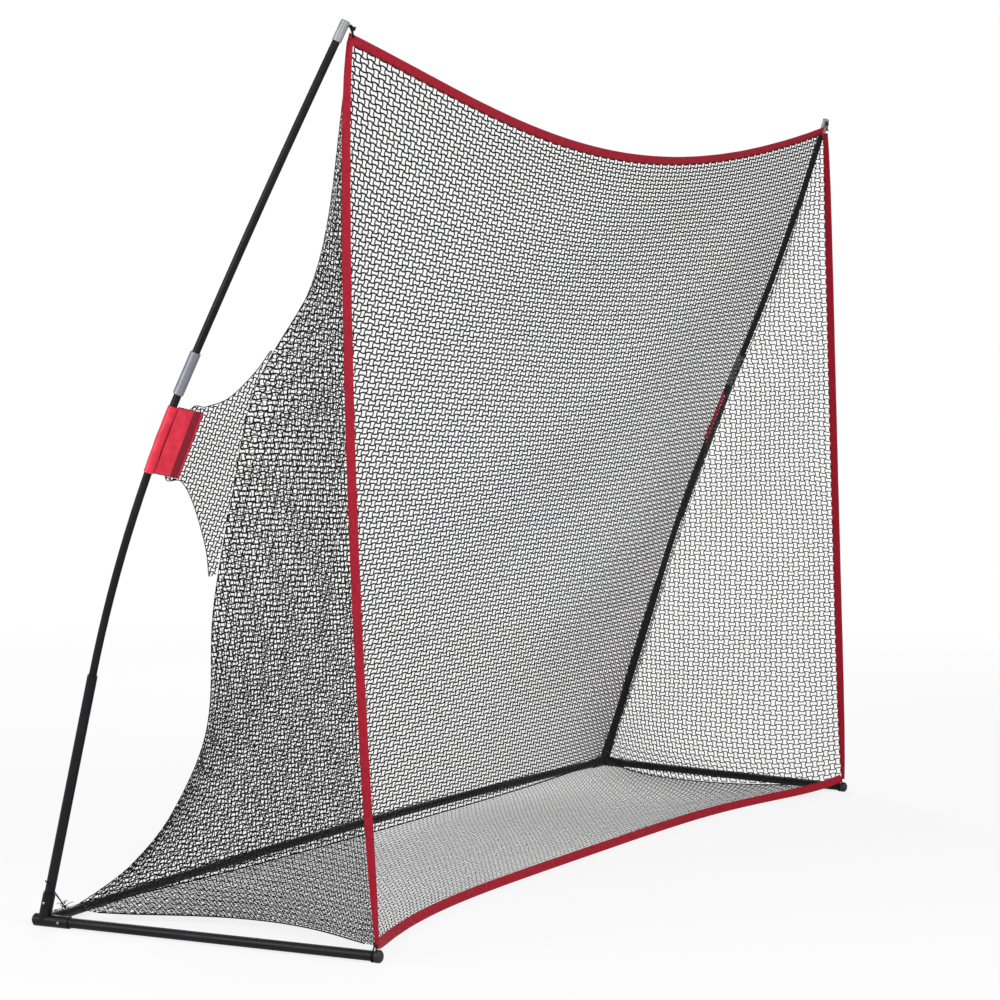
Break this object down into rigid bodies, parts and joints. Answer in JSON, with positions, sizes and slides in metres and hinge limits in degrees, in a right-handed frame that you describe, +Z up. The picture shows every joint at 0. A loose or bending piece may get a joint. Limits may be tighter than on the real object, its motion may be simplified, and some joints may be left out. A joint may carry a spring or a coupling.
{
  "type": "golf hitting net",
  "caption": "Freestanding golf hitting net: open-fronted bay of black netting with red webbing hems, held by raked bent poles on a tube base.",
  "frame": {"origin": "on the floor, at the centre of the bounding box; the open front faces -Y", "axes": "+X right seen from the front, +Y back, +Z up"},
  "size_m": [3.177, 1.0025, 2.1921],
  "materials": {
    "black_steel": "satin powder coat",
    "black_fibreglass": "satin",
    "black_plastic": "matte",
    "grey_steel": "satin",
    "silver_aluminium": "polished",
    "spring_steel": "bright",
    "ring_chrome": "bright",
    "black_net": "knotless polyethylene netting",
    "red_webbing": "woven webbing",
    "red_vinyl": "coated cloth",
    "black_cord": "braided cord"
  },
  "bodies": {
    "frame": {"back_net": "black_net", "bottom_hem": "red_webbing", "corner_fitting_left": "black_steel", "corner_fitting_right": "black_steel", "cross_tube_centre": "black_steel", "cross_tube_left": "black_steel", "cross_tube_right": "black_steel", "floor_edge_cord_left": "black_cord", "floor_edge_cord_right": "black_cord", "floor_net": "black_net", "front_cap_left": "black_plastic", "front_cap_right": "black_plastic", "front_tie_left": "black_cord", "front_tie_right": "black_cord", "lower_pole_left": "black_fibreglass", "lower_pole_right": "black_fibreglass", "pole_bushes": "black_plastic", "pole_ferrule_left": "grey_steel", "pole_ferrule_right": "grey_steel", "pole_wrap_left": "red_vinyl", "pole_wrap_right": "red_vinyl", "rear_cap_left": "black_plastic", "rear_cap_right": "black_plastic", "rear_edge_cord": "black_cord", "rear_rings": "ring_chrome", "rear_tie_left": "black_cord", "rear_tie_right": "black_cord", "side_hem_left": "red_webbing", "side_hem_right": "red_webbing", "side_net_left": "black_net", "side_net_right": "black_net", "side_tube_left": "black_steel", "side_tube_right": "black_steel", "spring_arms": "spring_steel", "tip_cap_left": "silver_aluminium", "tip_cap_right": "silver_aluminium", "tip_hooks": "black_steel", "top_hem": "red_webbing", "top_tie_left": "black_cord", "top_tie_right": "black_cord", "upper_pole_left": "black_fibreglass", "upper_pole_right": "black_fibreglass", "upright_tube_left": "black_steel", "upright_tube_right": "black_steel", "wing_edge_cord_left": "black_cord", "wing_edge_cord_right": "black_cord", "wing_net_left": "black_net", "wing_net_right": "black_net"},
    "cross_button_left": {"cross_button_left": "spring_steel"},
    "cross_button_right": {"cross_button_right": "spring_steel"},
    "side_button_left": {"side_button_left": "spring_steel"},
    "side_button_right": {"side_button_right": "spring_steel"},
    "splice_button_left": {"splice_button_left": "spring_steel"},
    "splice_button_right": {"splice_button_right": "spring_steel"},
    "upright_button_left": {"upright_button_left": "spring_steel"},
    "upright_button_right": {"upright_button_right": "spring_steel"},
    "wrap_flap_left": {"wrap_flap_left": "red_vinyl"},
    "wrap_flap_right": {"wrap_flap_right": "red_vinyl"}
  },
  "joints": [
    {"name": "cross_button_left_press", "type": "slide", "parent": "frame", "child": "cross_button_left", "axis": [0, 0, -1], "range_m": [0, 0.005], "stiffness_N_per_m": 800, "springref_m": -0.002},
    {"name": "cross_button_right_press", "type": "slide", "parent": "frame", "child": "cross_button_right", "axis": [0, 0, -1], "range_m": [0, 0.005], "stiffness_N_per_m": 800, "springref_m": -0.002},
    {"name": "side_button_left_press", "type": "slide", "parent": "frame", "child": "side_button_left", "axis": [0.9959, 0.0903, 0], "range_m": [0, 0.005], "stiffness_N_per_m": 800, "springref_m": -0.002},
    {"name": "side_button_right_press", "type": "slide", "parent": "frame", "child": "side_button_right", "axis": [-0.9959, 0.0903, 0], "range_m": [0, 0.005], "stiffness_N_per_m": 800, "springref_m": -0.002},
    {"name": "splice_button_left_press", "type": "slide", "parent": "frame", "child": "splice_button_left", "axis": [0, 0, -1], "range_m": [0, 0.005], "stiffness_N_per_m": 800, "springref_m": -0.002},
    {"name": "splice_button_right_press", "type": "slide", "parent": "frame", "child": "splice_button_right", "axis": [0, 0, -1], "range_m": [0, 0.005], "stiffness_N_per_m": 800, "springref_m": -0.002},
    {"name": "upright_button_left_press", "type": "slide", "parent": "frame", "child": "upright_button_left", "axis": [0.9981, -0.0171, 0.0589], "range_m": [0, 0.005], "stiffness_N_per_m": 800, "springref_m": -0.002},
    {"name": "upright_button_right_press", "type": "slide", "parent": "frame", "child": "upright_button_right", "axis": [-0.9981, -0.0171, 0.0589], "range_m": [0, 0.005], "stiffness_N_per_m": 800, "springref_m": -0.002},
    {"name": "wrap_flap_left_opens", "type": "hinge", "parent": "frame", "child": "wrap_flap_left", "pos_m": [-1.56208, 0.03102, 1.21211], "axis": [-0.0326, 0.398, -0.9168], "range_deg": [0, 100]},
    {"name": "wrap_flap_right_opens", "type": "hinge", "parent": "frame", "child": "wrap_flap_right", "pos_m": [1.56208, 0.03102, 1.21211], "axis": [-0.0326, -0.398, 0.9168], "range_deg": [0, 100]}
  ]
}
